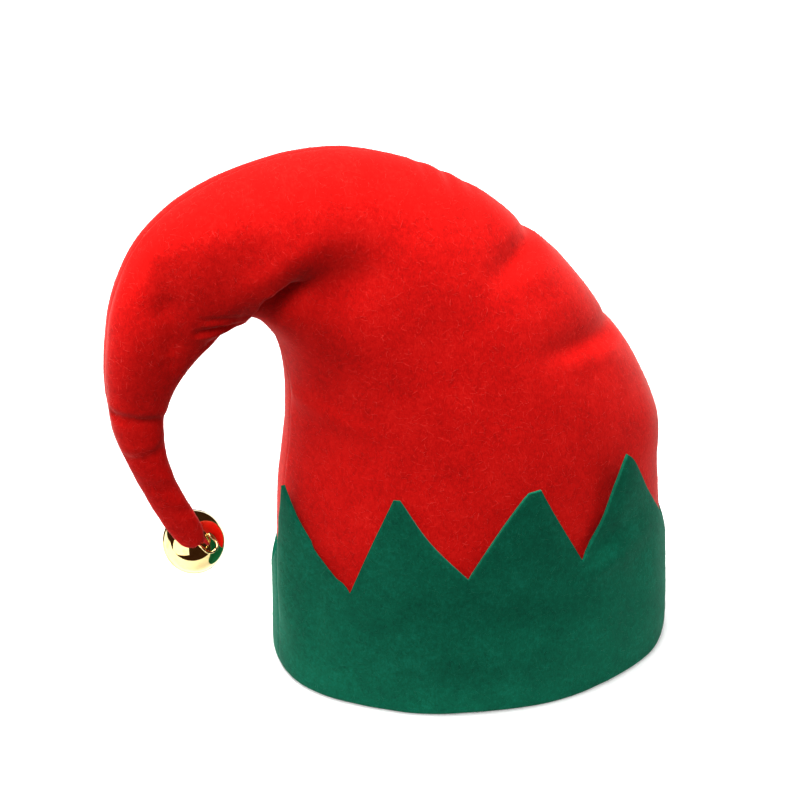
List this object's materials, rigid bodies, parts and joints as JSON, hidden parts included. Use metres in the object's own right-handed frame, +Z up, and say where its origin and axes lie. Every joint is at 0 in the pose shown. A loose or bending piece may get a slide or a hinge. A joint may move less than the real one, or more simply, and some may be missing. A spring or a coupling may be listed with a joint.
{
  "type": "elf hat",
  "caption": "Felt elf hat with a red crown bent over into a hooked peak, a green zigzag cuff and a gold jingle bell at the tip.",
  "frame": {"origin": "centre of the head opening, on the plane that the rim rests on", "axes": "+Z up out of the crown, -Z out of the head opening; the two panels meet in the XZ plane, the peak hangs to -X and the front panel faces -Y"},
  "size_m": [0.2519, 0.1435, 0.2324],
  "materials": {
    "red_felt": "matt napped felt",
    "green_felt": "matt napped felt",
    "gold_plate": "bright polished",
    "pellet_steel": "dull"
  },
  "bodies": {
    "root": {"crown_front": "red_felt", "crown_back": "red_felt", "cuff_front": "green_felt", "cuff_back": "green_felt", "bell_shell": "gold_plate", "bell_pellet": "pellet_steel"}
  },
  "joints": []
}
